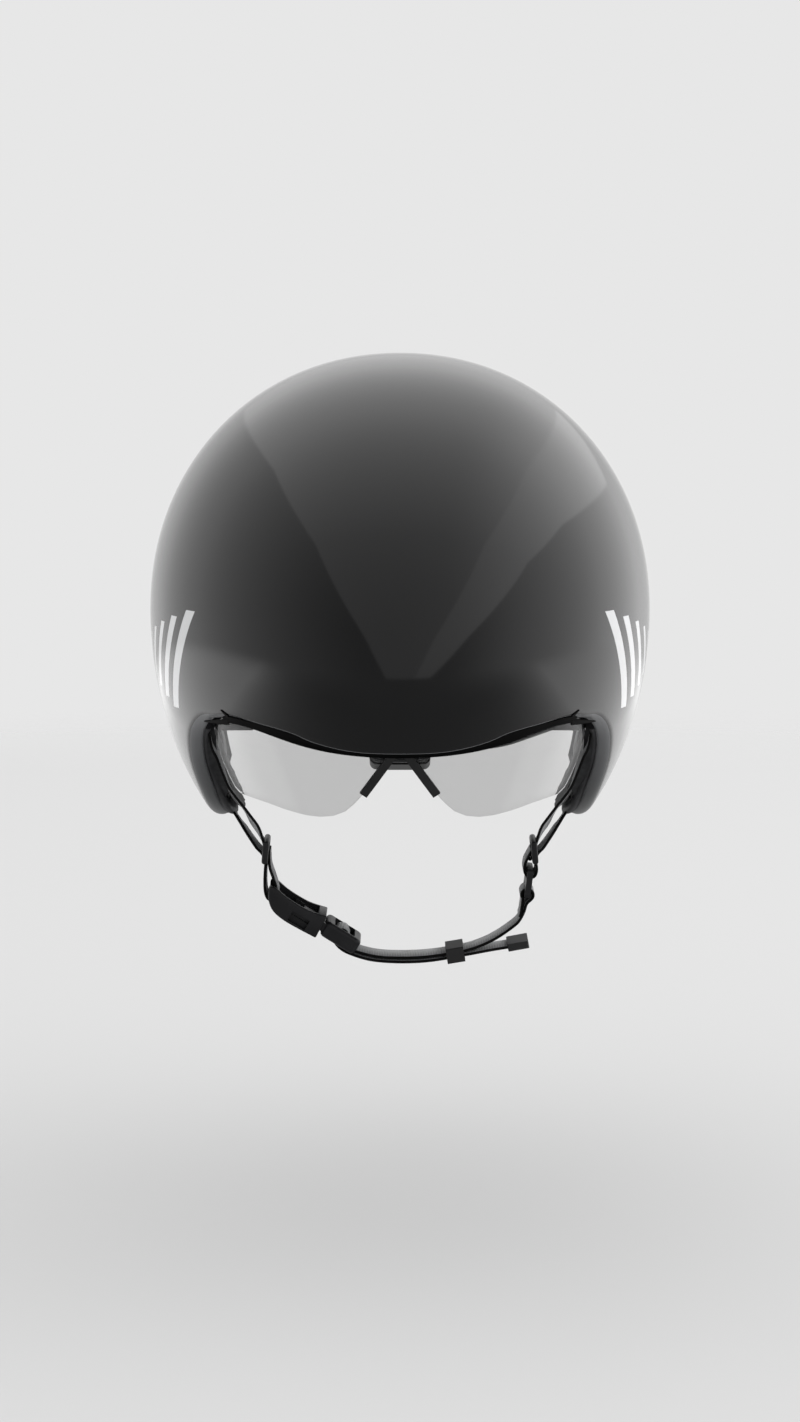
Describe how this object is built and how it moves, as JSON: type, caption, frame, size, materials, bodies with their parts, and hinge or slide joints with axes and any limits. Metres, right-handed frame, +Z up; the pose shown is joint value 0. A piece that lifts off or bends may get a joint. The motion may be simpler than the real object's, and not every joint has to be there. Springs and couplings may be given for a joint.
{
  "type": "aero time trial helmet",
  "caption": "Smooth rounded aero cycling helmet with ear covers, clear magnetic visor, buckled chin strap and a dial-tightened nape cradle.",
  "frame": {"origin": "centre of the head seat on the mid plane, level with the widest section of the shell", "axes": "+X to the right in the view of the face side, -Y towards the face, +Y towards the tail, +Z up through the crown"},
  "size_m": [0.21, 0.317, 0.2562],
  "materials": {
    "shell_gloss": "deep black clear-coated gloss",
    "liner_foam": "moulded black bead foam",
    "pad_foam": "knitted cover over soft foam",
    "visor_clear": "clear pale grey polycarbonate",
    "hardware_plastic": "fine textured black nylon",
    "soft_rubber": "matt black rubber",
    "webbing": "flat grey woven webbing with black edges",
    "plated_steel": "bright plated steel"
  },
  "bodies": {
    "helmet": {"outer_shell": "shell_gloss", "foam_liner": "liner_foam", "ear_pad_left": "pad_foam", "ear_pad_right": "pad_foam", "front_pad": "pad_foam", "crown_pad": "pad_foam", "side_pad_left": "pad_foam", "side_pad_right": "pad_foam", "visor_dock": "hardware_plastic", "dock_magnets": "plated_steel", "height_rail": "hardware_plastic", "rail_pins": "hardware_plastic", "strap_anchors": "hardware_plastic", "front_strap_left": "webbing", "front_strap_right": "webbing", "rear_strap_left": "webbing", "rear_strap_right": "webbing", "strap_divider_left": "hardware_plastic", "strap_divider_right": "hardware_plastic", "jaw_strap_left": "webbing", "jaw_strap_right": "webbing", "strap_link": "hardware_plastic", "buckle_female": "hardware_plastic"},
    "visor": {"visor_frame": "hardware_plastic", "visor_keeper_plates": "plated_steel", "visor_lens": "visor_clear", "nose_piece": "soft_rubber"},
    "cradle": {"cradle_base": "hardware_plastic", "cradle_cover": "hardware_plastic", "cradle_pad": "pad_foam"},
    "dial": {"fit_dial": "hardware_plastic", "dial_grip": "soft_rubber", "dial_pinion": "hardware_plastic", "dial_screw": "plated_steel"},
    "band_left": {"band_left": "hardware_plastic"},
    "band_right": {"band_right": "hardware_plastic"},
    "tongue": {"buckle_male": "hardware_plastic", "chin_strap": "webbing", "strap_tip": "soft_rubber"},
    "keeper": {"strap_keeper": "soft_rubber"},
    "prong_front": {"release_prong_front": "hardware_plastic"},
    "prong_rear": {"release_prong_rear": "hardware_plastic"}
  },
  "joints": [
    {"name": "visor_pull", "type": "slide", "parent": "helmet", "child": "visor", "axis": [0, 0.2689, -0.9632], "range_m": [0, 0.045]},
    {"name": "cradle_height", "type": "slide", "parent": "helmet", "child": "cradle", "axis": [0, 0.342, 0.9397], "range_m": [-0.008, 0.004]},
    {"name": "dial_turn", "type": "hinge", "parent": "cradle", "child": "dial", "pos_m": [0, 0.098, -0.068], "axis": [0, 0.9397, -0.342], "range_deg": [0, 150]},
    {"name": "band_left_draw", "type": "slide", "parent": "cradle", "child": "band_left", "axis": [1, 0, 0], "range_m": [0, 0.0105]},
    {"name": "band_right_draw", "type": "slide", "parent": "cradle", "child": "band_right", "axis": [-1, 0, 0], "range_m": [0, 0.0105]},
    {"name": "plug_pull", "type": "slide", "parent": "helmet", "child": "tongue", "axis": [0.848, 0, -0.5299], "range_m": [0, 0.018], "deforming": ["chin_strap"]},
    {"name": "keeper_slide", "type": "slide", "parent": "tongue", "child": "keeper", "axis": [0.9863, 0, 0.165], "range_m": [-0.006, 0.006], "deforming": ["chin_strap"]},
    {"name": "release_front", "type": "slide", "parent": "tongue", "child": "prong_front", "axis": [0, 1, 0], "range_m": [0, 0.002], "stiffness_N_per_m": 600},
    {"name": "release_rear", "type": "slide", "parent": "tongue", "child": "prong_rear", "axis": [0, -1, 0], "range_m": [0, 0.002], "stiffness_N_per_m": 600}
  ],
  "couplings": [
    {"joint": "band_left_draw", "follows": "dial_turn", "m_per_rad": 0.004},
    {"joint": "band_right_draw", "follows": "dial_turn", "m_per_rad": 0.004}
  ]
}
